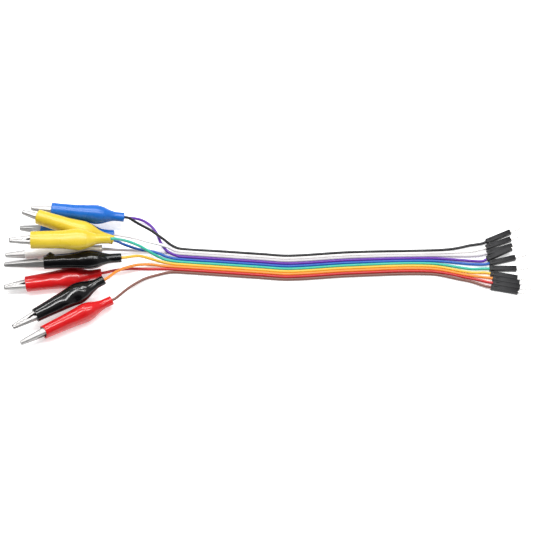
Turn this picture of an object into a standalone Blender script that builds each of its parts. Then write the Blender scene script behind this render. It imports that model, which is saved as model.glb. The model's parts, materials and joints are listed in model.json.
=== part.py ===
"""Ten alligator clip leads on one ten-way ribbon cable.

Each lead is a spring-closed clip in a moulded PVC boot, a wire, and a single-pin header
housing with its contact. The wires are fused side by side in the middle of the cable and
peeled apart at both ends. The clips lie in a pile at -X and the pins are at +X.
Every clip is built in a frame of its own: origin on the jaw pivot, +X towards the wire,
+Y along the rivet, +Z on the side of the moving upper jaw.
"""

import math

import bmesh
import bpy
from mathutils import Euler, Matrix, Vector

MM = 0.001

# Clip, along its length from the jaw tips.
PIVOT_FROM_TIP = 20.7 * MM
HANDLE_END = 34.2 * MM
CRIMP_START = 36.0 * MM
CRIMP_END = 38.3 * MM
SHEET = 0.5 * MM
LEAST_WALL_STEP = 0.05 * MM
TOOTH_PITCH = 2.05 * MM
TOOTH_COUNT = 4
TOOTH_START = 0.7 * MM
TOOTH_DEPTH = 0.7 * MM
JAW_GAP = 0.4 * MM
EAR_HALF_LENGTH = 2.3 * MM
EAR_DROP = 1.4 * MM
EAR_SLOPE = 0.7 * MM
NEST_HALF_LENGTH = 4.2 * MM
INNER_EAR_HALF_WIDTH = 1.3 * MM
RIVET_RADIUS = 0.65 * MM
RIVET_HOLE_RADIUS = 0.95 * MM
HOLE_CUTTER_REACH = 4.0 * MM
RIVET_HEAD_RADIUS = 1.1 * MM
RIVET_HEAD_INSIDE = 2.4 * MM
RIVET_HEAD_OUTSIDE = 2.8 * MM
ROUND_SIDES = 10
OPEN_CRIMP_TOP = 0.5 * MM
CRIMP_HALF_WIDTH = 1.15 * MM
CRIMP_BOTTOM = 1.95 * MM

# Half width and outer height of a jaw half, at distances from the tip.
JAW_HALF_WIDTH = ((0.0, 1.05), (3.0, 1.25), (8.0, 1.5), (11.5, 1.7), (20.7, 2.1), (31.0, 2.0), (34.2, 1.8))
JAW_HEIGHT = ((0.0, 1.25), (3.0, 1.55), (8.0, 2.0), (11.5, 2.3), (16.0, 2.65), (20.7, 2.85),
              (27.0, 3.0), (34.2, 3.2))
JAW_EDGE_BEHIND_TEETH = ((9.2, 0.35), (11.0, 0.7), (15.0, 1.1), (27.0, 1.3), (34.2, 2.65))

# PVC boot, along its length from the mouth.
BOOT_LENGTHS = {
    "blue": 37.5 * MM,
    "yellow": 40.0 * MM,
    "white": 39.5 * MM,
    "black": 39.5 * MM,
    "red": 39.0 * MM,
}
BOOT_WALL = 0.6 * MM
MOUTH_FROM_TIP = 11.0 * MM

# Share of the boot's length, half width and half height in millimetres.
BOOT_SECTIONS = ((0.0, 3.75, 4.35), (0.36, 3.9, 4.55), (0.45, 4.3, 5.1), (0.54, 4.6, 5.5),
                 (0.65, 4.15, 4.85), (0.75, 3.15, 3.55), (0.83, 2.5, 2.65), (1.0, 2.4, 2.4))
BOOT_SIDES = 12
BOOT_SQUARENESS = 2.3

# Wire and ribbon.
WIRE_RADIUS = 0.7 * MM
WIRE_STEP = 4.2 * MM
RIBBON_PITCH = 1.5 * MM
FIT_GAP = 0.3 * MM
WIRE_START = CRIMP_END + FIT_GAP
WIRE_START_DROP = 0.6 * MM
STRAIGHT_IN_BOOT = 5.0 * MM
STRAIGHT_OUT_OF_BOOT = 2.0 * MM
STRAIGHT_AT_HOUSING = 2.5 * MM

# Height of a wire's middle that lies on the table, in millimetres.
LAY_HEIGHT = 0.76

# Header housing and contact, along the housing from its wire end.
HOUSING_LENGTH = 14.0 * MM
HOUSING_SIDE = 2.48 * MM
CAVITY_SIDE = 1.9 * MM
CAVITY_DEPTH = 11.5 * MM
PIN_HOLE_SIDE = 1.1 * MM
WINDOW_START = 1.2 * MM
WINDOW_LENGTH = 2.0 * MM
WINDOW_WIDTH = 1.1 * MM
CONTACT_START = 2.2 * MM
WIRE_END_IN_HOUSING = CONTACT_START - FIT_GAP
CONTACT_SECTIONS = ((2.2, 0.75), (6.4, 0.75), (6.8, 0.5), (8.0, 0.5), (8.4, 0.78), (11.0, 0.78),
                    (11.2, 0.32), (19.4, 0.32), (20.0, 0.14))

# The table point, in millimetres, under the middle of the clips, housings and pins.
TABLE_CENTRE = (0.4, -8.72)

# The middle of the fused ribbon, in millimetres on the table.
RIBBON_ROUTE = ((-45.0, 0.5), (-24.0, -1.0), (-3.5, -2.5), (12.0, -3.5), (43.5, -1.5), (84.5, -0.5))

# One lead a line group, named by its wire, in ribbon order from the far side. Millimetres and degrees:
# clip = boot mouth x, y, z, heading, tail rise, roll, how far the boot has slid back;
# near = the wire's route from the boot tail to the ribbon; far = its route from the ribbon to the housing;
# header = housing wire end x, y, z, heading, rise.
LEADS = {
    "black": dict(
        boot="blue", clip=(-110.5, 20.8, 18.6, -2.0, -8.8, 0, -0.5),
        near=((-66.0, 17.7, 8.5), (-60.0, 15.5, 5.5), (-53.5, 11.7, 3.0), (-49.0, 8.9, 1.1)),
        far=((95.0, 6.9, 0.8), (100.5, 7.9, 0.8), (105.5, 9.1, 0.8)),
        header=(114.3, 11.0, 1.3, 23.8, 0.0),
    ),
    "white": dict(
        boot="blue", clip=(-116.5, 15.8, 5.9, -4.0, -1.0, -20, 0.7),
        near=((-68.0, 11.8, 3.8), (-60.5, 9.5, 3.8), (-54.0, 7.8, 3.9), (-51.5, 7.2, 3.2),
              (-48.5, 6.35, 1.5)),
        far=((105.5, 5.5, 0.8),),
        header=(113.9, 7.5, 1.3, 20.9, 0.0),
    ),
    "grey": dict(
        boot="white", clip=(-124.2, 1.7, 6.0, 4.4, -1.3, 0, -0.5),
        near=((-76.0, 5.5, 3.0), (-66.0, 6.0, 1.2), (-58.0, 5.5, 0.8), (-50.0, 4.8, 0.8)),
        far=((105.5, 3.0, 0.8),),
        header=(114.3, 4.3, 1.3, 18.0, 0.0),
    ),
    "purple": dict(
        boot="white", clip=(-113.5, 27.2, 6.0, -5.6, -1.3, 0, -3.2),
        near=((-65.5, 23.1, 2.5), (-60.5, 20.5, 0.9), (-57.0, 15.5, 0.8), (-55.0, 10.5, 1.1),
              (-53.0, 7.0, 1.9), (-50.8, 4.6, 2.45), (-48.5, 3.5, 1.9), (-46.0, 2.95, 1.0)),
        far=((105.5, 0.3, 0.8),),
        header=(114.0, 0.8, 1.6, 21.9, 11.0),
    ),
    "blue": dict(
        boot="yellow", clip=(-116.3, 14.6, 23.1, -11.8, -15.8, 0, -2.3),
        near=((-73.5, 6.7, 7.0), (-65.5, 5.0, 4.5), (-60.5, 4.9, 3.2), (-55.5, 3.8, 2.0), (-51.5, 2.5, 1.0)),
        far=((105.5, -1.6, 0.8),),
        header=(115.2, -1.4, 1.3, 13.6, 0.0),
    ),
    "green": dict(
        boot="yellow", clip=(-119.0, 0.4, 25.5, 3.9, -6.0, -80, 0),
        near=((-72.0, 5.9, 13.0), (-65.5, 5.0, 9.0), (-58.0, 2.4, 4.0), (-52.5, 0.8, 1.4)),
        far=((105.5, -4.3, 0.8),),
        header=(115.1, -4.4, 1.3, 0.0, 0.0),
    ),
    "yellow": dict(
        boot="black", clip=(-113.4, -6.8, 14.2, 5.0, -2.6, 46, 9.2),
        near=((-65.5, -0.3, 8.0), (-60.5, -0.3, 5.0), (-55.0, -0.8, 2.3), (-50.0, -1.3, 1.0)),
        far=((105.5, -6.4, 0.8),),
        header=(115.5, -7.2, 1.3, -10.8, 0.0),
    ),
    "orange": dict(
        boot="black", clip=(-117.1, -34.3, 9.3, 29.8, 1.0, -85, 1.5),
        near=((-76.0, -8.4, 7.5), (-68.0, -4.3, 5.0), (-60.5, -2.6, 2.5), (-52.5, -2.8, 0.9)),
        far=((105.5, -8.2, 0.8),),
        header=(116.4, -9.97, 1.3, -10.8, 0.0),
    ),
    "red": dict(
        boot="red", clip=(-123.2, -14.9, 5.1, 9.5, -0.7, -85, 0.3),
        near=((-78.5, -6.5, 3.5), (-70.5, -4.7, 1.8), (-60.5, -4.4, 0.8), (-51.0, -4.4, 0.8)),
        far=((105.5, -9.8, 0.8),),
        header=(116.4, -12.52, 1.3, -10.8, 0.0),
    ),
    "brown": dict(
        boot="red", clip=(-113.2, -42.2, 5.8, 28.1, -1.0, 0, 1.2),
        near=((-70.5, -15.7, 2.5), (-63.0, -10.2, 1.2), (-55.0, -7.4, 0.8), (-50.0, -6.3, 0.8)),
        far=((99.5, -10.2, 0.8), (105.5, -11.6, 0.8)),
        header=(115.3, -14.85, 1.3, -10.8, 0.0),
    ),
}

# Base colour, roughness, metallic.
SURFACES = {
    "blue": ((0.02, 0.13, 0.62), 0.3, 0.0),
    "yellow": ((0.83, 0.62, 0.03), 0.3, 0.0),
    "white": ((0.82, 0.80, 0.79), 0.3, 0.0),
    "black": ((0.012, 0.012, 0.014), 0.28, 0.0),
    "red": ((0.55, 0.01, 0.015), 0.3, 0.0),
    "grey": ((0.42, 0.41, 0.42), 0.4, 0.0),
    "purple": ((0.16, 0.03, 0.40), 0.4, 0.0),
    "green": ((0.01, 0.40, 0.20), 0.4, 0.0),
    "orange": ((0.88, 0.25, 0.01), 0.4, 0.0),
    "brown": ((0.23, 0.10, 0.07), 0.4, 0.0),
    "nickel": ((0.75, 0.73, 0.71), 0.22, 1.0),
    "housing_black": ((0.015, 0.015, 0.017), 0.45, 0.0),
    "tinned": ((0.80, 0.78, 0.74), 0.25, 1.0),
}


def clear_scene():
    for obj in list(bpy.data.objects):
        bpy.data.objects.remove(obj, do_unlink=True)


def make_collection(name):
    collection = bpy.data.collections.new(name)
    bpy.context.scene.collection.children.link(collection)
    return collection


def material(name):
    """The material of one surface, made once."""
    found = bpy.data.materials.get(name)
    if found:
        return found
    colour, roughness, metallic = SURFACES[name]
    made = bpy.data.materials.new(name)
    made.use_nodes = True
    shader = made.node_tree.nodes["Principled BSDF"]
    shader.inputs["Base Color"].default_value = (*colour, 1.0)
    shader.inputs["Roughness"].default_value = roughness
    shader.inputs["Metallic"].default_value = metallic
    return made


def read_off(table, x):
    """The value of a (distance, value) table in millimetres at x metres, in metres."""
    at = x / MM
    for (x0, v0), (x1, v1) in zip(table, table[1:]):
        if at <= x1:
            share = max(0.0, (at - x0) / (x1 - x0))
            return (v0 + (v1 - v0) * share) * MM
    return table[-1][1] * MM


def loft(name, sections, capped=True):
    """A mesh through sections, which are rings of points with the same count."""
    mesh = bpy.data.meshes.new(name)
    bm = bmesh.new()
    rings = [[bm.verts.new(p) for p in ring] for ring in sections]
    for one, other in zip(rings, rings[1:]):
        for i in range(len(one)):
            j = (i + 1) % len(one)
            bm.faces.new((one[i], one[j], other[j], other[i]))
    if capped:
        bm.faces.new(rings[0][::-1])
        bm.faces.new(rings[-1])
    bmesh.ops.recalc_face_normals(bm, faces=bm.faces[:])
    bm.to_mesh(mesh)
    bm.free()
    return mesh


def box_mesh(name, low, high):
    size = Vector(high) - Vector(low)
    middle = (Vector(high) + Vector(low)) / 2
    mesh = bpy.data.meshes.new(name)
    bm = bmesh.new()
    bmesh.ops.create_cube(bm, size=1.0, matrix=Matrix.Translation(middle) @ Matrix.Diagonal((*size, 1.0)))
    bm.to_mesh(mesh)
    bm.free()
    return mesh


def combined(name, base, others, operation):
    """A new mesh: base with each of the other meshes cut from it or joined to it."""
    scene = bpy.context.scene.collection
    body = bpy.data.objects.new(name, base)
    tools = [bpy.data.objects.new(name + "_tool", other) for other in others]
    for obj in [body, *tools]:
        scene.objects.link(obj)
    for tool in tools:
        boolean = body.modifiers.new(operation, "BOOLEAN")
        boolean.operation = operation
        boolean.object = tool
        boolean.solver = "EXACT"
    graph = bpy.context.evaluated_depsgraph_get()
    mesh = bpy.data.meshes.new_from_object(body.evaluated_get(graph))
    mesh.name = name
    for obj in [body, *tools]:
        bpy.data.objects.remove(obj, do_unlink=True)
    return mesh


def tooth_wave(x):
    """A zigzag between -1 and 1 along the biting edge."""
    phase = (x - TOOTH_START) / TOOTH_PITCH % 1.0
    return 1.0 - 4.0 * phase if phase < 0.5 else 4.0 * phase - 3.0


def biting_edge(x):
    """Height of the upper jaw's edge over the clip's middle plane."""
    if x <= TOOTH_START + TOOTH_COUNT * TOOTH_PITCH:
        return JAW_GAP / 2 + TOOTH_DEPTH / 2 * tooth_wave(x)
    return read_off(JAW_EDGE_BEHIND_TEETH, x)


def jaw_stations(end):
    """Distances from the tip at which a jaw half changes shape."""
    teeth = [TOOTH_START + i * TOOTH_PITCH / 2 for i in range(2 * TOOTH_COUNT + 1)]
    pivot = [PIVOT_FROM_TIP + side * (EAR_HALF_LENGTH + step)
             for side, step in ((-1, EAR_SLOPE), (-1, 0.0), (1, 0.0), (1, EAR_SLOPE))]
    return [0.0, *teeth, 11.5 * MM, 15.0 * MM, *pivot, 27.0 * MM, end]


def jaw_ring(x, half_width, height, edge, flip):
    """The channel section of a jaw half: a back plate and two side walls."""
    inner = half_width - SHEET
    under = max(height - SHEET, edge + LEAST_WALL_STEP)
    outline = ((-half_width, edge), (-half_width, height), (half_width, height), (half_width, edge),
               (inner, edge), (inner, under), (-inner, under), (-inner, edge))
    return [Vector((x - PIVOT_FROM_TIP, y, flip * z)) for y, z in outline]


def upper_jaw_mesh():
    """The moving half, whose ears pass outside the lower half's."""
    rings = []
    for x in jaw_stations(HANDLE_END):
        in_ear = abs(x - PIVOT_FROM_TIP) < EAR_HALF_LENGTH + EAR_SLOPE / 2
        edge = -EAR_DROP if in_ear else biting_edge(x)
        rings.append(jaw_ring(x, read_off(JAW_HALF_WIDTH, x), read_off(JAW_HEIGHT, x), edge, 1))
    hole = loft("rivet_hole", rivet_rings((
        (-HOLE_CUTTER_REACH, RIVET_HOLE_RADIUS), (HOLE_CUTTER_REACH, RIVET_HOLE_RADIUS))))
    return combined("upper_jaw", loft("upper_jaw_blank", rings), [hole], "DIFFERENCE")


def lower_jaw_mesh():
    """The fixed half with its wire crimp and the peened rivet that the upper half turns on."""
    rings = []
    for x in jaw_stations(HANDLE_END):
        from_pivot = abs(x - PIVOT_FROM_TIP)
        in_ear = from_pivot < EAR_HALF_LENGTH + EAR_SLOPE / 2
        if in_ear:
            edge = -EAR_DROP
        elif x <= TOOTH_START + TOOTH_COUNT * TOOTH_PITCH:
            edge = JAW_GAP / 2 - TOOTH_DEPTH / 2 * tooth_wave(x)
        else:
            edge = biting_edge(x)
        half_width = read_off(JAW_HALF_WIDTH, x)
        if from_pivot <= NEST_HALF_LENGTH:
            half_width = INNER_EAR_HALF_WIDTH
        rings.append(jaw_ring(x, half_width, read_off(JAW_HEIGHT, x), edge, -1))
    for x in (CRIMP_START, CRIMP_END):
        rings.append(jaw_ring(x, CRIMP_HALF_WIDTH, CRIMP_BOTTOM, -OPEN_CRIMP_TOP, -1))
    rivet = loft("rivet", rivet_rings((
        (-RIVET_HEAD_OUTSIDE, RIVET_HEAD_RADIUS), (-RIVET_HEAD_INSIDE, RIVET_HEAD_RADIUS),
        (-RIVET_HEAD_INSIDE, RIVET_RADIUS), (RIVET_HEAD_INSIDE, RIVET_RADIUS),
        (RIVET_HEAD_INSIDE, RIVET_HEAD_RADIUS), (RIVET_HEAD_OUTSIDE, RIVET_HEAD_RADIUS),
    )))
    return combined("lower_jaw", loft("lower_jaw_blank", rings), [rivet], "UNION")


def rivet_rings(stations):
    """Circles round the pivot axis, one for each (distance along it, radius)."""
    return [[Vector((r * math.cos(a), y, r * math.sin(a)))
             for a in (2 * math.pi * i / ROUND_SIDES for i in range(ROUND_SIDES))]
            for y, r in stations]


def shade_round(mesh):
    mesh.shade_smooth()
    mesh.set_sharp_from_angle(angle=math.radians(40))


def oval(x, half_width, half_height):
    """A slightly squared oval across the boot."""
    ring = []
    for i in range(BOOT_SIDES):
        angle = 2 * math.pi * (i + 0.5) / BOOT_SIDES
        c, s = math.cos(angle), math.sin(angle)
        y = half_width * math.copysign(abs(c) ** (2 / BOOT_SQUARENESS), c)
        z = half_height * math.copysign(abs(s) ** (2 / BOOT_SQUARENESS), s)
        ring.append(Vector((x, y, z)))
    return ring


def boot_mesh(colour):
    """The boot's outer surface, open at the mouth and the tail, from its mouth at x = 0."""
    length = BOOT_LENGTHS[colour]
    sections = [oval(x * length, w * MM, h * MM) for x, w, h in BOOT_SECTIONS]
    mesh = loft(colour + "_boot", sections, capped=False)
    shade_round(mesh)
    return mesh


def square_ring(x, half_side):
    corners = ((-1, -1), (1, -1), (1, 1), (-1, 1))
    return [Vector((x, half_side * y, half_side * z)) for y, z in corners]


def housing_mesh():
    """A single-way housing: a square sleeve with a pin hole in front and a latch window on top."""
    half = HOUSING_SIDE / 2
    block = box_mesh("housing_block", (0, -half, -half), (HOUSING_LENGTH, half, half))
    cavity = CAVITY_SIDE / 2
    hole = PIN_HOLE_SIDE / 2
    bore = loft("housing_bore", [square_ring(x, side) for x, side in (
        (-1.0 * MM, cavity), (CAVITY_DEPTH, cavity), (CAVITY_DEPTH, hole), (HOUSING_LENGTH + MM, hole))])
    window = box_mesh("housing_window", (WINDOW_START, -WINDOW_WIDTH / 2, 0),
                      (WINDOW_START + WINDOW_LENGTH, WINDOW_WIDTH / 2, HOUSING_SIDE))
    return combined("housing", block, [bore, window], "DIFFERENCE")


def contact_mesh():
    """The crimp contact: barrel, neck, locking box and square pin with a tapered end."""
    return loft("contact", [square_ring(x * MM, half * MM) for x, half in CONTACT_SECTIONS])


def table_point(x, y, z):
    """A point given in millimetres on the table, in metres from the object's origin."""
    return Vector((x - TABLE_CENTRE[0], y - TABLE_CENTRE[1], z)) * MM


def frame_at(point, heading, rise, roll):
    """A frame whose +X has this heading and rises this much, rolled about it. Degrees."""
    turn = Euler((math.radians(roll), -math.radians(rise), math.radians(heading)), "XYZ")
    return Matrix.Translation(point) @ turn.to_matrix().to_4x4()


def clip_frame(lead):
    """The clip's frame, with its origin on the jaw pivot."""
    x, y, z, heading, rise, roll, slid = lead["clip"]
    mouth = frame_at(table_point(x, y, z), heading, rise, roll)
    return mouth @ Matrix.Translation((PIVOT_FROM_TIP - MOUTH_FROM_TIP - slid * MM, 0, 0))


def header_frame(lead):
    x, y, z, heading, rise = lead["header"]
    return frame_at(table_point(x, y, z), heading, rise, 0)


def smooth_points(route, step):
    """Points at even steps along a smooth curve through the route's points, never under the table."""
    knots = [0.0]
    for a, b in zip(route, route[1:]):
        knots.append(knots[-1] + (b - a).length)
    slopes = []
    for i in range(len(route)):
        before, after = max(i - 1, 0), min(i + 1, len(route) - 1)
        slopes.append((route[after] - route[before]) / (knots[after] - knots[before]))
    fine = []
    for i in range(len(route) - 1):
        span = knots[i + 1] - knots[i]
        pieces = max(2, round(span / step * 8))
        for k in range(pieces):
            t = k / pieces
            fine.append((2 * t**3 - 3 * t**2 + 1) * route[i] + (t**3 - 2 * t**2 + t) * span * slopes[i]
                        + (3 * t**2 - 2 * t**3) * route[i + 1] + (t**3 - t**2) * span * slopes[i + 1])
    fine.append(route[-1])
    travelled = [0.0]
    for a, b in zip(fine, fine[1:]):
        travelled.append(travelled[-1] + (b - a).length)
    count = max(2, round(travelled[-1] / step))
    points, at = [], 0
    for k in range(count + 1):
        target = travelled[-1] * k / count
        while at < len(fine) - 2 and travelled[at + 1] < target:
            at += 1
        share = (target - travelled[at]) / (travelled[at + 1] - travelled[at])
        point = fine[at].lerp(fine[at + 1], share)
        point.z = max(point.z, LAY_HEIGHT * MM)
        points.append(point)
    return points


def ribbon_lane(place):
    """The route of one wire through the fused ribbon, place 0 being on the far side."""
    aside = (4.5 - place) * RIBBON_PITCH
    middle = [table_point(x, y, LAY_HEIGHT) for x, y in RIBBON_ROUTE]
    lane = []
    for i, point in enumerate(middle):
        along = (middle[min(i + 1, len(middle) - 1)] - middle[max(i - 1, 0)]).normalized()
        lane.append(point + Vector((-along.y, along.x, 0)) * aside)
    return lane


def wire_route(lead, place):
    """From the clip's crimp, out of the boot tail, through the ribbon and into the housing."""
    clip, header = clip_frame(lead), header_frame(lead)
    slid = lead["clip"][6] * MM
    tail = MOUTH_FROM_TIP + BOOT_LENGTHS[lead["boot"]] + slid - PIVOT_FROM_TIP
    start = [clip @ Vector((x, 0, z)) for x, z in (
        (WIRE_START - PIVOT_FROM_TIP, -WIRE_START_DROP), (tail - STRAIGHT_IN_BOOT, 0), (tail, 0),
        (tail + STRAIGHT_OUT_OF_BOOT, 0))]
    end = [header @ Vector((x, 0, 0)) for x in (-STRAIGHT_AT_HOUSING, 0, WIRE_END_IN_HOUSING)]
    near = [table_point(*p) for p in lead["near"]]
    far = [table_point(*p) for p in lead["far"]]
    return [*start, *near, *ribbon_lane(place), *far, *end]


def add_part(collection, name, mesh, matrix, surface, parent=None):
    obj = bpy.data.objects.new(name, mesh)
    collection.objects.link(obj)
    if parent:
        obj.parent = parent
        obj.matrix_local = matrix
    else:
        obj.matrix_world = matrix
    if not mesh.materials:
        mesh.materials.append(None)
    obj.material_slots[0].link = "OBJECT"
    obj.material_slots[0].material = material(surface)
    return obj


def add_wire(collection, name, points, surface):
    curve = bpy.data.curves.new(name, "CURVE")
    curve.dimensions = "3D"
    curve.bevel_depth = WIRE_RADIUS
    curve.bevel_resolution = 2
    curve.use_fill_caps = True
    spline = curve.splines.new("POLY")
    spline.points.add(len(points) - 1)
    for point, place in zip(spline.points, points):
        point.co = (*place, 1.0)
    curve.materials.append(material(surface))
    obj = bpy.data.objects.new(name, curve)
    collection.objects.link(obj)
    return obj


def add_lead(collection, colour, lead, place, meshes):
    """All the separate pieces of one lead."""
    clip = bpy.data.objects.new(colour + "_clip_frame", None)
    collection.objects.link(clip)
    clip.matrix_world = clip_frame(lead)
    still = Matrix.Identity(4)
    add_part(collection, colour + "_upper_jaw", meshes["upper_jaw"], still, "nickel", clip)
    add_part(collection, colour + "_lower_jaw", meshes["lower_jaw"], still, "nickel", clip)
    mouth = Matrix.Translation((MOUTH_FROM_TIP + lead["clip"][6] * MM - PIVOT_FROM_TIP, 0, 0))
    boot = add_part(collection, colour + "_boot", boot_mesh(lead["boot"]), mouth, lead["boot"], clip)
    wall = boot.modifiers.new("wall", "SOLIDIFY")
    wall.thickness = BOOT_WALL
    wall.offset = -1.0
    wall.use_even_offset = True
    header = header_frame(lead)
    add_part(collection, colour + "_housing", meshes["housing"], header, "housing_black")
    add_part(collection, colour + "_contact", meshes["contact"], header, "tinned")
    add_wire(collection, colour + "_wire", smooth_points(wire_route(lead, place), WIRE_STEP), colour)


def main():
    clear_scene()
    collection = make_collection("alligator_clip_leads")
    meshes = {
        "upper_jaw": upper_jaw_mesh(),
        "lower_jaw": lower_jaw_mesh(),
        "housing": housing_mesh(),
        "contact": contact_mesh(),
    }
    for place, (colour, lead) in enumerate(LEADS.items()):
        add_lead(collection, colour, lead, place, meshes)


main()
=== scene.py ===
"""The looks of the alligator clip lead set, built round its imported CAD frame.

Metres, +Z up, +X from the clips to the header pins. Every clip piece is made in its clip's own frame:
origin on the jaw pivot, +X towards the wire, +Y along the rivet, +Z on the side of the moving jaw.
Every header piece is made in its header's frame: origin at the housing's wire end, +X to the pin.
"""

import json
import math

import bpy
import numpy as np
from mathutils import Matrix, Vector


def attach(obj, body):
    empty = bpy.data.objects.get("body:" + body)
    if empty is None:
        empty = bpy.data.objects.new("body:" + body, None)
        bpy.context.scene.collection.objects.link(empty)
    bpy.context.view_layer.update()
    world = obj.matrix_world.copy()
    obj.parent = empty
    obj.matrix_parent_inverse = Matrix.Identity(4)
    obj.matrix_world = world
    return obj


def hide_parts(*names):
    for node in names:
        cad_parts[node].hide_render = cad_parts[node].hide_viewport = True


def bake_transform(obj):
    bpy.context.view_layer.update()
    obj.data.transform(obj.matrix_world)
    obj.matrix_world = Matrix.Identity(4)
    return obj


MM = 0.001

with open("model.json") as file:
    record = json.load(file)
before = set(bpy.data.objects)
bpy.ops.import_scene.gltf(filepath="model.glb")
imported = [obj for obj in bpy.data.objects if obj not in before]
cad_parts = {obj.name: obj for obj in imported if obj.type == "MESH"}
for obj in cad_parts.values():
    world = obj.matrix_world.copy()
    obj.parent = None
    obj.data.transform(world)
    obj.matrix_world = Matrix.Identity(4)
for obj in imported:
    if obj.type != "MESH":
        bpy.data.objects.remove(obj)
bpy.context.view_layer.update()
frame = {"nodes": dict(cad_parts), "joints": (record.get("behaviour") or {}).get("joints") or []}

# ---------------------------------------------------------------- driving dimensions

TABLE_CENTRE = (0.4, -8.72)
RIBBON_PITCH = 1.5
LAY_HEIGHT = 0.76
WIRE_RADIUS = 0.73
CURVE_STEP = 1.3

PIVOT_FROM_TIP = 20.7
HANDLE_END = 34.2
CRIMP_START = 36.0
CRIMP_END = 38.3
WIRE_START = 38.6
WIRE_START_DROP = 0.6
WIRE_END_IN_HOUSING = 1.9
STRAIGHT_IN_BOOT = 5.0
STRAIGHT_OUT_OF_BOOT = 2.0
STRAIGHT_AT_HOUSING = 2.5

SHEET = 0.5
TOOTH_PITCH = 2.05
TOOTH_COUNT = 4
TOOTH_START = 0.7
TOOTH_DEPTH = 0.7
JAW_GAP = 0.22
NOSE_PLAN_RADIUS = 0.75
NOSE_SIDE_RADIUS = 0.35
BACK_RADIUS = 0.8
EAR_RADIUS = 2.6
EAR_DROP = 1.5
INNER_EAR_HALF_WIDTH = 1.3
NEST_HALF_LENGTH = 4.2
JAW_HALF_WIDTH = ((0.0, 1.05), (3.0, 1.25), (8.0, 1.5), (11.5, 1.7), (20.7, 2.1), (31.0, 2.0), (34.2, 1.8))
JAW_HEIGHT = ((0.0, 1.25), (3.0, 1.55), (8.0, 2.0), (11.5, 2.3), (16.0, 2.65), (20.7, 2.85), (27.0, 3.0),
              (34.2, 3.2))
JAW_EDGE_BEHIND_TEETH = ((9.2, 0.35), (11.0, 0.7), (15.0, 1.1), (27.0, 1.3), (34.2, 2.65))

BOOT_WALL = 0.6
# Share of the boot's length, half width and half height behind the mouth, in millimetres.
BOOT_SECTIONS = ((0.34, 3.85, 4.5), (0.48, 4.25, 5.0), (0.59, 4.6, 5.5), (0.68, 4.2, 4.95),
                 (0.77, 3.1, 3.55), (0.84, 2.5, 2.65), (0.89, 2.4, 2.45), (1.0, 2.4, 2.4))
BOOT_SIDES = 72
BOOT_SQUARENESS = 2.3

HOUSING_LENGTH = 14.0
HOUSING_SIDE = 2.48
HOUSING_EDGE = 0.12
CAVITY_SIDE = 1.9
CAVITY_DEPTH = 11.5
PIN_HOLE_SIDE = 0.95
WINDOW = (1.4, 3.0, 0.8)
PIN_SIDE = 0.64

# The middle of the fused ribbon, in millimetres on the table.
RIBBON_ROUTE = ((-45.0, 0.5), (-24.0, -1.0), (-3.5, -2.5), (12.0, -3.5), (43.5, -1.5), (84.5, -0.5))

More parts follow.
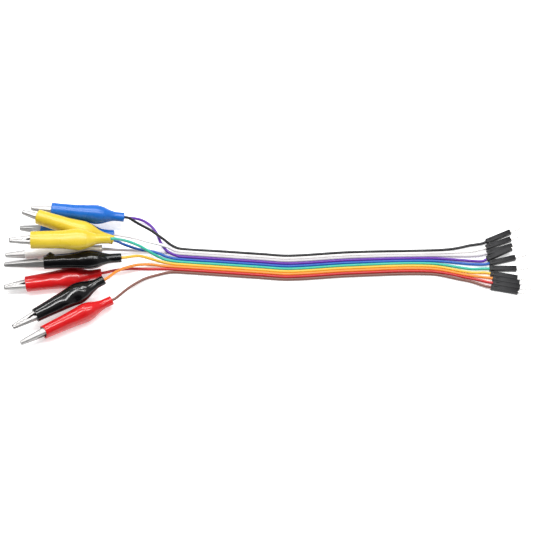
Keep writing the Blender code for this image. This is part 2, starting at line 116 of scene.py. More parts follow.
# One lead a group, named by its wire, in ribbon order from the far side, in millimetres. near is the route
# from the boot tail to the ribbon and far is the route on to the housing. mouth is the boot's half width and
# half height there, and rim is how far the mouth's edge reaches forward, and at which angle round the boot.
# shift moves the bulge back by a share of the length. A crease is a shallow fold or dent: share of the
# length, angle in degrees, slope in shares a radian, half width in millimetres, reach in degrees and height
# in millimetres.
LEADS = {
    "black": dict(
        boot="blue", mouth=(3.6, 4.1), rim=(0.2, 115), shift=0.02,
        near=((-66.0, 17.7, 8.5), (-60.0, 15.5, 5.5), (-53.5, 11.7, 3.0), (-49.0, 8.9, 1.1)),
        far=((95.0, 6.9, 0.8), (100.5, 7.9, 0.8), (105.5, 9.1, 0.8)),
        creases=((0.40, 100, 0.05, 2.2, 40, -0.12), (0.50, 125, 0.04, 2.0, 35, 0.12)),
    ),
    "white": dict(
        boot="blue", mouth=(3.6, 4.1), rim=(0.5, 160), shift=0.0,
        near=((-68.0, 11.8, 3.8), (-60.5, 9.5, 3.8), (-54.0, 7.8, 3.9), (-51.5, 7.2, 3.2),
              (-48.5, 6.35, 1.5)),
        far=((105.5, 5.5, 0.8),),
        creases=(),
    ),
    "grey": dict(
        boot="white", mouth=(3.6, 4.2), rim=(0.1, 115), shift=0.0,
        near=((-76.0, 5.5, 3.0), (-66.0, 6.0, 1.2), (-58.0, 5.5, 0.8), (-50.0, 4.8, 0.8)),
        far=((105.5, 3.0, 0.8),),
        creases=(),
    ),
    "purple": dict(
        boot="white", mouth=(3.6, 4.2), rim=(0.1, 115), shift=0.0,
        near=((-65.5, 23.1, 2.5), (-60.5, 20.5, 0.9), (-57.0, 15.5, 0.8), (-55.0, 10.5, 1.1),
              (-53.0, 7.0, 1.9), (-50.8, 4.6, 2.45), (-48.5, 3.5, 1.9), (-46.0, 2.95, 1.0)),
        far=((105.5, 0.3, 0.8),),
        creases=(),
    ),
    "blue": dict(
        boot="yellow", mouth=(3.6, 4.1), rim=(1.5, 115), shift=0.0,
        near=((-73.5, 6.7, 7.0), (-65.5, 5.0, 4.5), (-60.5, 4.9, 3.2), (-55.5, 3.8, 2.0), (-51.5, 2.5, 1.0)),
        far=((105.5, -1.6, 0.8),),
        creases=((0.42, 130, 0.04, 2.4, 40, 0.12), (0.30, 110, 0.0, 2.0, 35, -0.10)),
    ),
    "green": dict(
        boot="yellow", mouth=(3.8, 4.4), rim=(0.4, 200), shift=0.0,
        near=((-72.0, 5.9, 13.0), (-65.5, 5.0, 9.0), (-58.0, 2.4, 4.0), (-52.5, 0.8, 1.4)),
        far=((105.5, -4.3, 0.8),),
        creases=((0.42, 215, 0.05, 3.0, 30, 0.12),),
    ),
    "yellow": dict(
        boot="black", mouth=(3.35, 3.5), rim=(0.0, 75), shift=0.0,
        near=((-65.5, -0.3, 8.0), (-60.5, -0.3, 5.0), (-55.0, -0.8, 2.3), (-50.0, -1.3, 1.0)),
        far=((105.5, -6.4, 0.8),),
        creases=((0.30, 60, 0.10, 1.5, 30, 0.14), (0.46, 50, 0.12, 1.6, 35, -0.16),
                 (0.80, 70, 0.15, 1.0, 40, 0.12)),
    ),
    "orange": dict(
        boot="black", mouth=(3.2, 3.6), rim=(-0.7, 190), shift=0.03,
        near=((-76.0, -8.4, 7.5), (-68.0, -4.3, 5.0), (-60.5, -2.6, 2.5), (-52.5, -2.8, 0.9)),
        far=((105.5, -8.2, 0.8),),
        creases=((0.43, 222, 0.03, 2.2, 28, 0.40), (0.56, 226, -0.02, 2.1, 24, -0.50),
                 (0.66, 185, 0.10, 1.3, 22, 0.14)),
    ),
    "red": dict(
        boot="red", mouth=(3.5, 4.0), rim=(0.1, 200), shift=0.0,
        near=((-78.5, -6.5, 3.5), (-70.5, -4.7, 1.8), (-60.5, -4.4, 0.8), (-51.0, -4.4, 0.8)),
        far=((105.5, -9.8, 0.8),),
        creases=((0.44, 222, 0.03, 2.3, 30, 0.40), (0.56, 228, 0.0, 2.4, 26, -0.25)),
    ),
    "brown": dict(
        boot="red", mouth=(3.3, 3.6), rim=(-1.6, 115), shift=0.02,
        near=((-70.5, -15.7, 2.5), (-63.0, -10.2, 1.2), (-55.0, -7.4, 0.8), (-50.0, -6.3, 0.8)),
        far=((99.5, -10.2, 0.8), (105.5, -11.6, 0.8)),
        creases=((0.45, 150, 0.05, 3.0, 40, 0.10),),
    ),
}

# The pinched lip on the mouth of the slid-back boot: distance from the mouth, angle, reaches, height.
LIP = dict(lead="yellow", at=3.4, angle=-14, reach=2.6, spread=15, height=1.7)

# ---------------------------------------------------------------- camera and light

VIEW_ELEVATION = 65
VIEW_DISTANCE = 0.9
VIEW_TARGET = Vector((-0.0004, 0.00872, 0))
VIEW_LENS = 117.3
VIEW_SHIFT = -0.00844
DARK_ELEVATION = math.radians(30)


def make_camera():
    camera = bpy.data.objects.new("view_camera", bpy.data.cameras.new("view_camera"))
    bpy.context.scene.collection.objects.link(camera)
    tilt = math.radians(VIEW_ELEVATION)
    camera.location = VIEW_TARGET + Vector((0, -math.cos(tilt), math.sin(tilt))) * VIEW_DISTANCE
    camera.rotation_euler = (math.pi / 2 - tilt, 0, 0)
    camera.data.sensor_width = 36
    camera.data.lens = VIEW_LENS
    camera.data.shift_y = VIEW_SHIFT
    bpy.context.scene.camera = camera


def area_light(name, direction, distance, size, power, colour=(1, 1, 1)):
    """A soft box that faces the table's middle from (azimuth, elevation) in degrees, azimuth 0 being -Y."""
    light = bpy.data.lights.new(name, "AREA")
    light.shape = "RECTANGLE"
    light.size, light.size_y = size
    light.energy = power
    light.color = colour
    azimuth, elevation = (math.radians(value) for value in direction)
    back = Vector((math.sin(azimuth) * math.cos(elevation), -math.cos(azimuth) * math.cos(elevation),
                   math.sin(elevation)))
    holder = bpy.data.objects.new(name, light)
    holder.location = VIEW_TARGET + back * distance
    holder.rotation_mode = "QUATERNION"
    holder.rotation_quaternion = back.to_track_quat("Z", "Y")
    bpy.context.scene.collection.objects.link(holder)


def make_world():
    """A pale studio with a dark patch on the camera's side, which edges the metal."""
    world = bpy.data.worlds.new("studio")
    bpy.context.scene.world = world
    world.use_nodes = True
    nodes, links = world.node_tree.nodes, world.node_tree.links
    direction = nodes.new("ShaderNodeTexCoord")
    towards = nodes.new("ShaderNodeVectorMath")
    towards.operation = "DOT_PRODUCT"
    towards.inputs[1].default_value = (0, -math.cos(DARK_ELEVATION), math.sin(DARK_ELEVATION))
    ramp = nodes.new("ShaderNodeValToRGB")
    stops = ramp.color_ramp.elements
    stops[0].position, stops[0].color = 0.0, (0.42, 0.42, 0.425, 1)
    stops[1].position, stops[1].color = 0.92, (0.015, 0.015, 0.018, 1)
    stops.new(0.76).color = (0.34, 0.34, 0.345, 1)
    links.new(direction.outputs["Generated"], towards.inputs[0])
    links.new(towards.outputs["Value"], ramp.inputs["Fac"])
    links.new(ramp.outputs["Color"], nodes["Background"].inputs["Color"])


# ---------------------------------------------------------------- materials

COLOURS = {
    "boot_blue": (0.009, 0.125, 0.500),
    "boot_yellow": (0.660, 0.490, 0.035),
    "boot_white": (0.900, 0.880, 0.870),
    "boot_black": (0.0020, 0.0020, 0.0025),
    "boot_red": (0.590, 0.009, 0.011),
    "wire_black": (0.010, 0.010, 0.012),
    "wire_white": (0.800, 0.780, 0.770),
    "wire_grey": (0.560, 0.540, 0.560),
    "wire_purple": (0.115, 0.020, 0.330),
    "wire_blue": (0.012, 0.098, 0.425),
    "wire_green": (0.040, 0.450, 0.330),
    "wire_yellow": (0.790, 0.470, 0.045),
    "wire_orange": (0.800, 0.260, 0.032),
    "wire_red": (0.520, 0.022, 0.024),
    "wire_brown": (0.190, 0.075, 0.055),
    "housing_black": (0.009, 0.009, 0.0105),
    "jaw_nickel": (0.400, 0.394, 0.388),
    "contact_tin": (0.500, 0.482, 0.458),
    "spring_steel": (0.420, 0.410, 0.400),
    "copper": (0.780, 0.330, 0.160),
}


def new_material(name):
    made = bpy.data.materials.new(name)
    made.use_nodes = True
    return made, made.node_tree.nodes, made.node_tree.links, made.node_tree.nodes["Principled BSDF"]


def noise_node(nodes, links, scale, detail=3.0, stretch=(1, 1, 1)):
    """Noise in the piece's own coordinates. scale is in features a millimetre."""
    place = nodes.new("ShaderNodeTexCoord")
    mapping = nodes.new("ShaderNodeMapping")
    mapping.inputs["Scale"].default_value = stretch
    noise = nodes.new("ShaderNodeTexNoise")
    noise.inputs["Scale"].default_value = scale / MM
    noise.inputs["Detail"].default_value = detail
    links.new(place.outputs["Object"], mapping.inputs["Vector"])
    links.new(mapping.outputs["Vector"], noise.inputs["Vector"])
    return noise.outputs["Fac"]


def mapped(nodes, links, value, low, high, from_low=0.3, from_high=0.7):
    ranged = nodes.new("ShaderNodeMapRange")
    ranged.inputs["From Min"].default_value = from_low
    ranged.inputs["From Max"].default_value = from_high
    ranged.inputs["To Min"].default_value = low
    ranged.inputs["To Max"].default_value = high
    links.new(value, ranged.inputs["Value"])
    return ranged.outputs["Result"]


def vary_colour(nodes, links, shader, colour, amount, factor):
    """The base colour, a little lighter and darker by place."""
    mix = nodes.new("ShaderNodeMix")
    mix.data_type = "RGBA"
    mix.inputs["A"].default_value = (*[c * (1 - amount) for c in colour], 1)
    mix.inputs["B"].default_value = (*[min(1, c * (1 + amount) + 0.004) for c in colour], 1)
    links.new(factor, mix.inputs["Factor"])
    links.new(mix.outputs["Result"], shader.inputs["Base Color"])


def add_bump(nodes, links, shader, height, strength, distance):
    bump = nodes.new("ShaderNodeBump")
    bump.inputs["Strength"].default_value = strength
    bump.inputs["Distance"].default_value = distance * MM
    links.new(height, bump.inputs["Height"])
    links.new(bump.outputs["Normal"], shader.inputs["Normal"])


def pvc_material(name, roughness, grain):
    """Soft glossy PVC: cloudy gloss, faint colour drift and a fine orange-peel grain."""
    made, nodes, links, shader = new_material(name)
    colour = COLOURS[name]
    cloud = noise_node(nodes, links, 0.16, 4.0)
    fine = noise_node(nodes, links, grain, 2.0)
    vary_colour(nodes, links, shader, colour, 0.10, cloud)
    links.new(mapped(nodes, links, cloud, roughness - 0.03, roughness + 0.05), shader.inputs["Roughness"])
    shader.inputs["IOR"].default_value = 1.46
    add_bump(nodes, links, shader, fine, 0.12, 0.03)
    return made


def metal_material(name, roughness, stretch, strength):
    """Bright plated metal: drawn grain along its length and a cloudy polish."""
    made, nodes, links, shader = new_material(name)
    cloud = noise_node(nodes, links, 0.35, 3.0)
    grain = noise_node(nodes, links, 4.0, 3.0, stretch)
    vary_colour(nodes, links, shader, COLOURS[name], 0.08, cloud)
    shader.inputs["Metallic"].default_value = 1.0
    links.new(mapped(nodes, links, grain, roughness - 0.07, roughness + 0.09), shader.inputs["Roughness"])
    add_bump(nodes, links, shader, grain, strength, 0.03)
    return made


def plastic_material(name, roughness, specular):
    """Moulded housing plastic: spark-eroded grain and slightly rubbed gloss."""
    made, nodes, links, shader = new_material(name)
    cloud = noise_node(nodes, links, 0.3, 3.0)
    fine = noise_node(nodes, links, 7.0, 2.0)
    vary_colour(nodes, links, shader, COLOURS[name], 0.25, cloud)
    shader.inputs["Specular IOR Level"].default_value = specular
    links.new(mapped(nodes, links, fine, roughness - 0.06, roughness + 0.08), shader.inputs["Roughness"])
    add_bump(nodes, links, shader, fine, 0.3, 0.03)
    return made


def make_materials():
    made = {}
    for name in COLOURS:
        if name in ("boot_black", "boot_red"):
            made[name] = pvc_material(name, 0.13, 2.2)
        elif name.startswith("boot_"):
            made[name] = pvc_material(name, 0.27, 1.6)
        elif name.startswith("wire_"):
            made[name] = pvc_material(name, 0.34, 3.0)
    made["housing_black"] = plastic_material("housing_black", 0.42, 0.22)
    made["jaw_nickel"] = metal_material("jaw_nickel", 0.50, (0.12, 1, 1), 0.02)
    made["contact_tin"] = metal_material("contact_tin", 0.26, (0.2, 1, 1), 0.08)
    made["spring_steel"] = metal_material("spring_steel", 0.30, (1, 1, 1), 0.05)
    made["copper"] = metal_material("copper", 0.32, (1, 1, 1), 0.05)
    return made


# ---------------------------------------------------------------- mesh helpers


def read_off(table, x):
    """The value at x of a (distance, value) table, with straight lines between its points."""
    return float(np.interp(x, [row[0] for row in table], [row[1] for row in table]))


def smooth_curve(xs, values, at):
    """Values at the places of at on a smooth curve that doesn't overshoot its points."""
    xs, values, at = (np.asarray(v, float) for v in (xs, values, at))
    slopes = np.diff(values) / np.diff(xs)
    tangents = np.zeros(len(xs))
    for i in range(1, len(xs) - 1):
        if slopes[i - 1] * slopes[i] > 0:
            tangents[i] = 2 / (1 / slopes[i - 1] + 1 / slopes[i])
    tangents[0], tangents[-1] = slopes[0] * 0.5, slopes[-1] * 0.5
    i = np.clip(np.searchsorted(xs, at) - 1, 0, len(xs) - 2)
    span = xs[i + 1] - xs[i]
    t = (at - xs[i]) / span
    return ((2 * t**3 - 3 * t**2 + 1) * values[i] + (t**3 - 2 * t**2 + t) * span * tangents[i]
            + (3 * t**2 - 2 * t**3) * values[i + 1] + (t**3 - t**2) * span * tangents[i + 1])


def smoothstep(low, high, x):
    t = np.clip((x - low) / (high - low), 0, 1)
    return t * t * (3 - 2 * t)


def ring_mesh(name, rings, caps=True, joined=False):
    """A mesh through rings of points in millimetres. joined closes the last ring onto the first."""
    rings = np.asarray(rings, float)
    count, sides = rings.shape[:2]
    index = np.arange(count * sides).reshape(count, sides)
    first = index if joined else index[:-1]
    second = np.roll(index, -1, 0) if joined else index[1:]
    quads = np.stack([first, np.roll(first, -1, 1), np.roll(second, -1, 1), second], -1).reshape(-1, 4)
    faces = quads.tolist()
    if caps and not joined:
        faces += [index[0][::-1].tolist(), index[-1].tolist()]
    mesh = bpy.data.meshes.new(name)
    mesh.from_pydata((rings.reshape(-1, 3) * MM).tolist(), [], faces)
    mesh.validate()
    face_outwards(mesh)
    return mesh


def face_outwards(mesh):
    """Turns a closed mesh's faces to point out."""
    corners = np.array([v.co for v in mesh.vertices])
    volume = 0.0
    mesh.calc_loop_triangles()
    for triangle in mesh.loop_triangles:
        a, b, c = (corners[i] for i in triangle.vertices)
        volume += float(np.dot(a, np.cross(b, c)))
    if volume < 0:
        mesh.flip_normals()


def shade(mesh, angle=38):
    mesh.shade_smooth()
    mesh.set_sharp_from_angle(angle=math.radians(angle))


def cut(name, base, tools):
    """A new mesh: base with each (mesh, operation) applied in turn."""
    scene = bpy.context.scene.collection
    body = bpy.data.objects.new(name, base)
    helpers = [(bpy.data.objects.new(name + "_tool", mesh), operation) for mesh, operation in tools]
    for obj in [body, *[helper for helper, _ in helpers]]:
        scene.objects.link(obj)
    for helper, operation in helpers:
        boolean = body.modifiers.new(operation, "BOOLEAN")
        boolean.operation = operation
        boolean.object = helper
    graph = bpy.context.evaluated_depsgraph_get()
    mesh = bpy.data.meshes.new_from_object(body.evaluated_get(graph))
    mesh.name = name
    for obj in [body, *[helper for helper, _ in helpers]]:
        bpy.data.objects.remove(obj, do_unlink=True)
    return mesh


def tube_rings(points, radius, sides):
    """Rings round a path in millimetres, without twist."""
    points = [Vector(p) for p in points]
    rings = []
    across = None
    for i, point in enumerate(points):
        along = (points[min(i + 1, len(points) - 1)] - points[max(i - 1, 0)]).normalized()
        if across is None:
            across = along.orthogonal().normalized()
        across = (across - along * across.dot(along)).normalized()
        other = along.cross(across)
        rings.append([point + (across * math.cos(a) + other * math.sin(a)) * radius
                      for a in (2 * math.pi * k / sides for k in range(sides))])
    return [[tuple(p) for p in ring] for ring in rings]


def turned_rings(profile, sides):
    """Rings round the Y axis for a (y, radius) profile."""
    return [[(r * math.cos(a), y, r * math.sin(a)) for a in (2 * math.pi * k / sides for k in range(sides))]
            for y, r in profile]


def rounded_square(x, half, corner, steps=3):
    """A square ring across X with rounded corners."""
    ring = []
    for quarter in range(4):
        middle = math.radians(45 + 90 * quarter)
        cy = math.copysign(half - corner, math.cos(middle))
        cz = math.copysign(half - corner, math.sin(middle))
        for k in range(steps + 1):
            a = math.radians(90 * quarter + 90 * k / steps)
            ring.append((x, cy + corner * math.cos(a), cz + corner * math.sin(a)))
    return ring


def place(name, mesh, matrix, material):
    obj = bpy.data.objects.new(name, mesh)
    obj.matrix_world = matrix
    bpy.context.scene.collection.objects.link(obj)
    if not mesh.materials:
        mesh.materials.append(material)
    obj.material_slots[0].link = "OBJECT"
    obj.material_slots[0].material = material
    return obj


# ---------------------------------------------------------------- frames read from the CAD


def node_points(node):
    return np.array([v.co for v in frame["nodes"][node].data.vertices], float)


def axes_matrix(x, y, z, origin):
    matrix = Matrix((x, y, z)).transposed().to_4x4()
    matrix.translation = origin
    return matrix


def clip_frame(colour):
    """The clip's frame, from its joint and the middle of its boot."""
    joint = next(j for j in frame["joints"] if j["child"] == colour + "_jaw")
    pivot, y = Vector(joint["pos_m"]), Vector(joint["axis"]).normalized()
    points = node_points(colour + "_boot")
    x = Vector(points.mean(0)) - pivot
    x = (x - y * x.dot(y)).normalized()
    return axes_matrix(x, y, x.cross(y), pivot)


def boot_span(colour, clip):
    """Where the boot's mouth and tail are along the clip, in millimetres from the pivot."""
    points = node_points(colour + "_boot")
    along = (points - np.array(clip.translation)) @ np.array(clip.col[0][:3])
    return along.min() / MM, along.max() / MM


def header_frame(colour):
    """The header's frame, from its contact's long axis and its housing's wire end."""
    points = node_points(colour + "_contact")
    middle = points.mean(0)
    x = np.linalg.svd(points - middle)[2][0]
    x = Vector(x if x[0] > 0 else -x)
    z = (Vector((0, 0, 1)) - x * x.z).normalized()
    along = (node_points(colour + "_housing") - middle) @ np.array(x)
    return axes_matrix(x, z.cross(x), z, Vector(middle) + x * float(along.min()))


# ---------------------------------------------------------------- wires


def table_point(x, y, z):
    return Vector((x - TABLE_CENTRE[0], y - TABLE_CENTRE[1], z)) * MM


def smooth_points(route, step):
    """Points at even steps along a smooth curve through the route's points, never under the table."""
    knots = [0.0]
    for a, b in zip(route, route[1:]):
        knots.append(knots[-1] + (b - a).length)
    slopes = []
    for i in range(len(route)):
        before, after = max(i - 1, 0), min(i + 1, len(route) - 1)
        slopes.append((route[after] - route[before]) / (knots[after] - knots[before]))
    fine = []
    for i in range(len(route) - 1):
        span = knots[i + 1] - knots[i]
        pieces = max(2, round(span / step * 4))
        for k in range(pieces):
            t = k / pieces
            fine.append((2 * t**3 - 3 * t**2 + 1) * route[i] + (t**3 - 2 * t**2 + t) * span * slopes[i]
                        + (3 * t**2 - 2 * t**3) * route[i + 1] + (t**3 - t**2) * span * slopes[i + 1])
    fine.append(route[-1])
    travelled = np.cumsum([0.0] + [(b - a).length for a, b in zip(fine, fine[1:])])
    targets = np.linspace(0, travelled[-1], max(2, round(travelled[-1] / step)) + 1)
    places = np.array([tuple(p) for p in fine])
    points = np.stack([np.interp(targets, travelled, places[:, k]) for k in range(3)], -1)
    points[:, 2] = np.maximum(points[:, 2], LAY_HEIGHT * MM)
    return [Vector(p) for p in points]


def ribbon_lane(place_in_ribbon):
    aside = (4.5 - place_in_ribbon) * RIBBON_PITCH * MM
    middle = [table_point(x, y, LAY_HEIGHT) for x, y in RIBBON_ROUTE]
    lane = []
    for i, point in enumerate(middle):
        along = (middle[min(i + 1, len(middle) - 1)] - middle[max(i - 1, 0)]).normalized()
        lane.append(point + Vector((-along.y, along.x, 0)) * aside)
    return lane


def add_wire(colour, place_in_ribbon, clip, header, tail, materials):
    lead = LEADS[colour]
    start = [clip @ (Vector((x, 0, z)) * MM) for x, z in (
        (WIRE_START - PIVOT_FROM_TIP, -WIRE_START_DROP), (tail - STRAIGHT_IN_BOOT, 0), (tail, 0),
        (tail + STRAIGHT_OUT_OF_BOOT, 0))]
    end = [header @ Vector((x * MM, 0, 0)) for x in (-STRAIGHT_AT_HOUSING, 0, WIRE_END_IN_HOUSING)]
    near = [table_point(*p) for p in lead["near"]]
    far = [table_point(*p) for p in lead["far"]]
    points = smooth_points([*start, *near, *ribbon_lane(place_in_ribbon), *far, *end], CURVE_STEP * MM)
    curve = bpy.data.curves.new(colour + "_insulation", "CURVE")
    curve.dimensions = "3D"
    curve.bevel_depth = WIRE_RADIUS * MM
    curve.bevel_resolution = 6
    curve.use_fill_caps = True
    spline = curve.splines.new("POLY")
    spline.points.add(len(points) - 1)
    for point, spot in zip(spline.points, points):
        point.co = (*spot, 1.0)
    spline.use_smooth = True
    slot = "wire_" + colour
    curve.materials.append(materials[slot])
    wire = bpy.data.objects.new(colour + "_insulation", curve)
    bpy.context.scene.collection.objects.link(wire)
    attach(wire, "leads")
    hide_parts(colour + "_wire")


# ---------------------------------------------------------------- boots


def boot_rings(length, lead, colour):
    """The boot as one closed shell: outside, tail rim, inside and mouth rim, with its creases."""
    rim = BOOT_WALL / 2
    turns = np.radians(np.linspace(90, -90, 7))
    outside = [(x, 0.0) for x in np.linspace(rim, length - rim, 130)]
    tail_rim = [(length - rim + rim * math.cos(a), rim * math.sin(a) - rim) for a in turns[1:-1]]
    inside = [(x, -BOOT_WALL) for x in np.linspace(length - rim, rim, 40)]
    mouth_rim = [(rim - rim * math.cos(a), -rim - rim * math.sin(a)) for a in turns[1:-1]]
    profile = np.array(outside + tail_rim + inside + mouth_rim)
    xs, offsets = profile[:, 0], profile[:, 1]
    sections = ((0.0, *lead["mouth"]), *BOOT_SECTIONS)
    shares = [row[0] + (lead["shift"] if 0.3 < row[0] < 0.86 else 0.0) for row in sections]
    half_width = smooth_curve(shares, [row[1] for row in sections], xs / length) + offsets
    half_height = smooth_curve(shares, [row[2] for row in sections], xs / length) + offsets
    power = 2 / (BOOT_SQUARENESS - 0.3 * smoothstep(0.6, 0.85, xs / length))
    angles = 2 * math.pi * (np.arange(BOOT_SIDES) + 0.5) / BOOT_SIDES
    c, s = np.cos(angles), np.sin(angles)
    rings = np.empty((len(xs), BOOT_SIDES, 3))
    rings[..., 0] = xs[:, None]
    rings[..., 1] = half_width[:, None] * np.sign(c) * np.abs(c) ** power[:, None]
    rings[..., 2] = half_height[:, None] * np.sign(s) * np.abs(s) ** power[:, None]
    push = boot_relief(xs / length, angles, length, lead["creases"], sum(map(ord, colour)))
    if colour == LIP["lead"]:
        push = push + lip_relief(xs, angles)
    outward = rings[..., 1:] / np.linalg.norm(rings[..., 1:], axis=-1, keepdims=True)
    rings[..., 1:] += outward * push[..., None]
    reach, towards = lead["rim"]
    fade = 1 - smoothstep(0.0, 9.0, xs)
    facing = (0.5 + 0.5 * np.cos(angles - math.radians(towards))) ** 2
    rings[..., 0] -= reach * fade[:, None] * facing[None, :]
    return rings


def boot_relief(shares, angles, length, creases, seed):
    """How far the wall stands proud, in millimetres: long flutes, soft lumps and the listed creases."""
    u, a = np.meshgrid(shares, angles, indexing="ij")
    body = smoothstep(0.02, 0.2, u) * (1 - smoothstep(0.7, 0.95, u))
    push = 0.02 * body * np.sin(7 * a + seed + 1.5 * np.sin(4 * u + seed))
    push += 0.03 * body * np.sin(3 * a - 9 * u + seed) * np.sin(11 * u + 2 * seed)
    push += 0.04 * np.sin(2 * a + seed) * (1 - smoothstep(0.0, 0.15, u))
    for share, angle, slope, half_width, reach, height in creases:
        turn = (a - math.radians(angle) + math.pi) % (2 * math.pi) - math.pi
        away = (u - share - slope * turn) * length / half_width
        push += height * np.exp(-away**2) * np.exp(-(turn / math.radians(reach)) ** 2)
    return push


def lip_relief(xs, angles):
    """A sharp pinch near the mouth, as where a soft edge has been folded and stays proud."""
    turn = (angles - math.radians(LIP["angle"]) + math.pi) % (2 * math.pi) - math.pi
    along = np.clip(1 - np.abs(xs - LIP["at"]) / LIP["reach"], 0, 1)
    around = np.exp(-(turn / math.radians(LIP["spread"])) ** 2)
    return LIP["height"] * along[:, None] * around[None, :]


def add_boot(colour, clip, mouth, tail, materials):
    """The boot, made in the clip's frame from its mouth to its tail and baked into place."""
    lead = LEADS[colour]
    mesh = ring_mesh(colour + "_pvc_boot", boot_rings(tail - mouth, lead, colour), joined=True)
    mesh.shade_smooth()
    slot = "boot_" + lead["boot"]
    boot = place(colour + "_pvc_boot", mesh, clip @ Matrix.Translation((mouth * MM, 0, 0)), materials[slot])
    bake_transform(boot)
    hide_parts(colour + "_boot")


# ---------------------------------------------------------------- clip metal


def tooth_wave(x):
    phase = (x - TOOTH_START) / TOOTH_PITCH % 1.0
    return 1.0 - 4.0 * phase if phase < 0.5 else 4.0 * phase - 3.0


def biting_edge(x, toothed):
    """Height of a jaw's edge over the clip's middle. toothed is 1 for the upper jaw, -1 for the lower."""
    if x <= TOOTH_START + TOOTH_COUNT * TOOTH_PITCH:
        return JAW_GAP / 2 + toothed * TOOTH_DEPTH / 2 * tooth_wave(x)
    return read_off(JAW_EDGE_BEHIND_TEETH, x)


def corner_inset(x, radius):
    """How far a rounded front corner falls short of the full section at x."""
    short = max(0.0, radius - x)
    return radius - math.sqrt(radius**2 - short**2)


def channel_ring(x, half_width, top, bottom, radius, steps=6):
    """A section that is flat below and round-shouldered above."""
    radius = min(radius, half_width * 0.95, (top - bottom) * 0.9)
    ring = [(x, -half_width, bottom)]
    for k in range(steps + 1):
        a = math.pi - math.pi / 2 * k / steps
        ring.append((x, -half_width + radius + radius * math.cos(a), top - radius + radius * math.sin(a)))
    for k in range(steps + 1):
        a = math.pi / 2 - math.pi / 2 * k / steps
        ring.append((x, half_width - radius + radius * math.cos(a), top - radius + radius * math.sin(a)))
    ring.append((x, half_width, bottom))
    return ring


def jaw_mesh(name, upper):
    """A jaw half: a drawn channel with a round nose, teeth, ears round the rivet and a finger lever."""
    teeth = np.arange(TOOTH_START, TOOTH_START + TOOTH_COUNT * TOOTH_PITCH + 0.01, TOOTH_PITCH / 4)
    nose = NOSE_PLAN_RADIUS * (1 - np.cos(np.linspace(0.0, math.pi / 2, 9)))
    body = np.linspace(9.6, HANDLE_END, 60)
    stations = sorted(set(np.round(np.concatenate([nose, teeth, body]), 3)))
    outside, hollow = [], []
    for x in stations:
        from_pivot = abs(x - PIVOT_FROM_TIP)
        half_width = read_off(JAW_HALF_WIDTH, x) - corner_inset(x, NOSE_PLAN_RADIUS)
        height = read_off(JAW_HEIGHT, x) - corner_inset(x, NOSE_SIDE_RADIUS)
        edge = biting_edge(x, 1 if upper else -1)
        if from_pivot < EAR_RADIUS:
            drop = math.sqrt(1 - (from_pivot / EAR_RADIUS) ** 2)
            edge = edge * (1 - drop) - EAR_DROP * drop
        if not upper:
            nested = 1 - float(smoothstep(NEST_HALF_LENGTH - 1.2, NEST_HALF_LENGTH, from_pivot))
            half_width += (INNER_EAR_HALF_WIDTH - half_width) * nested
        outside.append(channel_ring(x - PIVOT_FROM_TIP, half_width, height, edge, BACK_RADIUS))
        if x > SHEET:
            hollow.append(channel_ring(x - PIVOT_FROM_TIP, max(half_width - SHEET, 0.2), height - SHEET,
                                       -EAR_DROP - 2, BACK_RADIUS - 0.3))
    if not upper:
        for x, half_width, top, bottom in ((35.2, 1.35, 2.5, 1.6), (CRIMP_START, 1.15, 1.95, 0.5),
                                           (CRIMP_END, 1.15, 1.95, 0.5)):
            outside.append(channel_ring(x - PIVOT_FROM_TIP, half_width, top, bottom, 0.9))
            hollow.append(channel_ring(x - PIVOT_FROM_TIP, half_width - 0.4, top - 0.4, -EAR_DROP - 2, 0.6))
    last = hollow[-1]
    hollow.append([(x + 1.0, y, z) for x, y, z in last])
    solid = ring_mesh(name + "_blank", outside)
    tools = [(ring_mesh(name + "_hollow", hollow), "DIFFERENCE")]
    if upper:
        bore = ring_mesh(name + "_bore", turned_rings(((-4.0, 0.8), (4.0, 0.8)), 28))
        tools.append((bore, "DIFFERENCE"))
    mesh = cut(name, solid, tools)
    if not upper:
        mesh.transform(Matrix.Diagonal((1, 1, -1, 1)))
        mesh.flip_normals()
    shade(mesh, 32)
    return mesh


def rivet_mesh():
    """A drawn rivet with two domed heads."""
    head_out, head_in, head, shank = 2.62, 2.14, 1.15, 0.65
    dome = [(head_in + (head_out - head_in) * math.sin(a), head * math.cos(a))
            for a in np.radians((0, 20, 40, 60, 78))]
    profile = [(-y, r) for y, r in dome[::-1]] + [(-head_in, shank), (head_in, shank)] + dome
    mesh = ring_mesh("rivet", turned_rings(profile, 32))
    shade(mesh)
    return mesh


def spring_mesh():
    """The torsion spring: three coils on the rivet and a leg along the inside of each lever."""
    radius, wire, turns = 1.0, 0.2, 3
    coil = []
    steps = 24 * turns + 12
    for k in range(steps + 1):
        a = math.pi / 2 + 2 * math.pi * (turns + 0.5) * k / steps
        y = -0.55 + 1.1 * k / steps
        coil.append((radius * math.cos(a), y, radius * math.sin(a)))
    first, last = coil[0], coil[-1]
    start = [(first[0] + 9.0, first[1], 2.2), (first[0] + 6.0, first[1], 1.9),
             (first[0] + 2.0, first[1], 1.25)]
    end = [(last[0] + 2.0, last[1], -1.25), (last[0] + 6.0, last[1], -1.9), (last[0] + 9.0, last[1], -2.2)]
    mesh = ring_mesh("torsion_spring", tube_rings(start + coil + end, wire, 10))
    mesh.shade_smooth()
    return mesh


def core_mesh():
    """The bare end of the wire in the crimp: seven twisted strands."""
    strand, lay = 0.17, 0.34
    rings = []
    sides = 42
    for x in np.linspace(CRIMP_START + 0.3, WIRE_START + 1.0, 14):
        twist = 1.1 * (x - CRIMP_START)
        ring = []
        for k in range(sides):
            a = 2 * math.pi * k / sides
            r = lay + strand * abs(math.cos(3 * (a - twist)))
            ring.append((x - PIVOT_FROM_TIP, r * math.cos(a), r * math.sin(a) - 0.75))
        rings.append(ring)
    mesh = ring_mesh("wire_core", rings)
    mesh.shade_smooth()
    return mesh


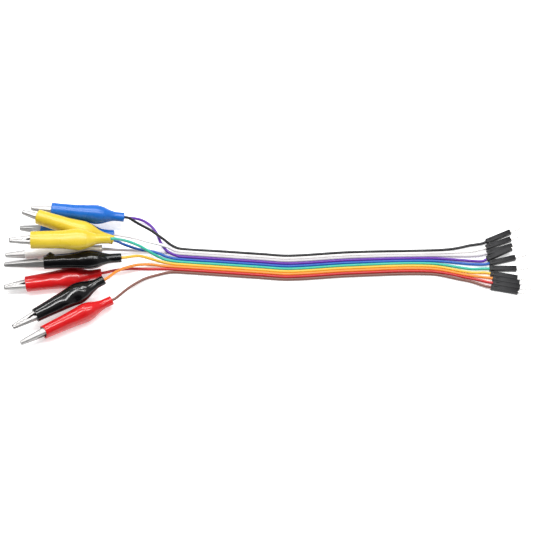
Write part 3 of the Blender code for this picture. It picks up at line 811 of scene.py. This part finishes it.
def add_clip_metal(colour, clip, meshes, materials):
    upper = place(colour + "_jaw_upper", meshes["upper"], clip, materials["jaw_nickel"])
    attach(upper, colour + "_jaw")
    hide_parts(colour + "_upper_jaw")
    lower = place(colour + "_jaw_lower", meshes["lower"], clip, materials["jaw_nickel"])
    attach(lower, "leads")
    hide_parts(colour + "_lower_jaw")
    rivet = place(colour + "_rivet", meshes["rivet"], clip, materials["jaw_nickel"])
    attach(rivet, "leads")
    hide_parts(colour + "_lower_jaw")
    core = place(colour + "_wire_core", meshes["core"], clip, materials["copper"])
    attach(core, "leads")
    spring = place(colour + "_torsion_spring", meshes["spring"].copy(), clip, materials["spring_steel"])
    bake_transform(spring)


# ---------------------------------------------------------------- header housings and contacts


def housing_mesh():
    """A one-way housing: round-edged square sleeve with bore, pin hole, latch window and latch tongue."""
    half, edge = HOUSING_SIDE / 2, HOUSING_EDGE
    outside = [rounded_square(0.0, half - edge, edge), rounded_square(edge * 0.3, half - edge * 0.3, edge),
               rounded_square(edge, half, edge), rounded_square(HOUSING_LENGTH - edge, half, edge),
               rounded_square(HOUSING_LENGTH - edge * 0.3, half - edge * 0.3, edge),
               rounded_square(HOUSING_LENGTH, half - edge, edge)]
    cavity, hole = CAVITY_SIDE / 2, PIN_HOLE_SIDE / 2
    bore = [rounded_square(-1.0, cavity + 0.1, 0.2), rounded_square(0.0, cavity + 0.1, 0.2),
            rounded_square(0.4, cavity, 0.2), rounded_square(CAVITY_DEPTH, cavity, 0.2),
            rounded_square(CAVITY_DEPTH + 0.3, hole, 0.1), rounded_square(HOUSING_LENGTH - 0.25, hole, 0.1),
            rounded_square(HOUSING_LENGTH, hole + 0.2, 0.1),
            rounded_square(HOUSING_LENGTH + 1, hole + 0.2, 0.1)]
    first, last, width = WINDOW
    window = box_rings((first, -width / 2, 0.0), (last, width / 2, half + 1))
    groove = box_rings((last - 0.1, -width / 2 - 0.18, half - 0.14),
                       (last + 1.3, width / 2 + 0.18, half + 1))
    tongue = box_rings((first + 0.12, -width / 2 + 0.1, half - 0.6),
                       (last + 0.3, width / 2 - 0.1, half - 0.3))
    mesh = cut("header_housing", ring_mesh("housing_block", outside), [
        (ring_mesh("housing_bore", bore), "DIFFERENCE"), (ring_mesh("housing_window", window), "DIFFERENCE"),
        (ring_mesh("housing_groove", groove), "DIFFERENCE"), (ring_mesh("housing_tongue", tongue), "UNION")])
    shade(mesh, 40)
    return mesh


def box_rings(low, high):
    corners = ((low[1], low[2]), (high[1], low[2]), (high[1], high[2]), (low[1], high[2]))
    return [[(x, y, z) for y, z in corners] for x in (low[0], high[0])]


def contact_mesh():
    """The contact: crimped barrel, neck, locking box and a square pin with a tapered end."""
    pin = PIN_SIDE / 2
    sections = ((2.2, 0.62, 0.3), (2.5, 0.74, 0.35), (4.2, 0.74, 0.35), (4.4, 0.6, 0.3), (4.6, 0.74, 0.35),
                (6.4, 0.72, 0.3), (6.8, 0.48, 0.15), (8.0, 0.48, 0.15), (8.3, 0.78, 0.12),
                (11.0, 0.78, 0.12),
                (11.3, pin, 0.06), (19.1, pin, 0.06), (19.6, pin * 0.8, 0.05), (20.0, pin * 0.42, 0.03))
    mesh = ring_mesh("contact", [rounded_square(x, half, corner) for x, half, corner in sections])
    shade(mesh, 30)
    return mesh


def add_header(colour, header, meshes, materials):
    housing = place(colour + "_header_housing", meshes["housing"], header, materials["housing_black"])
    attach(housing, "leads")
    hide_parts(colour + "_housing")
    contact = place(colour + "_pin_contact", meshes["contact"], header, materials["contact_tin"])
    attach(contact, "leads")
    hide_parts(colour + "_contact")


# ---------------------------------------------------------------- stage


def make_floor():
    mesh = ring_mesh("floor", box_rings((-2500, -2500, -20), (2500, 2500, 0)))
    made, nodes, links, shader = new_material("floor_pale")
    cloud = noise_node(nodes, links, 0.01, 2.0)
    vary_colour(nodes, links, shader, (0.90, 0.90, 0.905), 0.01, cloud)
    shader.inputs["Roughness"].default_value = 0.6
    shader.inputs["Specular IOR Level"].default_value = 0.2
    shader.inputs["Emission Color"].default_value = (1, 1, 1, 1)
    shader.inputs["Emission Strength"].default_value = 0.45
    place("floor", mesh, Matrix.Identity(4), made)


def main():
    make_camera()
    materials = make_materials()
    clips = {colour: clip_frame(colour) for colour in LEADS}
    headers = {colour: header_frame(colour) for colour in LEADS}
    spans = {colour: boot_span(colour, clips[colour]) for colour in LEADS}
    for number, colour in enumerate(LEADS):
        add_wire(colour, number, clips[colour], headers[colour], spans[colour][1], materials)
    meshes = {
        "upper": jaw_mesh("upper_jaw_channel", True),
        "lower": jaw_mesh("lower_jaw_channel", False),
        "rivet": rivet_mesh(),
        "spring": spring_mesh(),
        "core": core_mesh(),
        "housing": housing_mesh(),
        "contact": contact_mesh(),
    }
    for colour in LEADS:
        add_boot(colour, clips[colour], *spans[colour], materials)
        add_clip_metal(colour, clips[colour], meshes, materials)
        add_header(colour, headers[colour], meshes, materials)
    make_floor()
    make_world()
    area_light("rear_strip", (180, 62), 0.9, (0.9, 0.07), 5.0)
    area_light("top_strip", (180, 84), 0.9, (0.9, 0.07), 5.0)
    area_light("left_box", (-90, 62), 0.9, (0.3, 0.3), 1.0)
    area_light("right_box", (90, 62), 0.9, (0.3, 0.3), 1.0)
    bpy.context.scene.view_settings.view_transform = "Standard"


main()
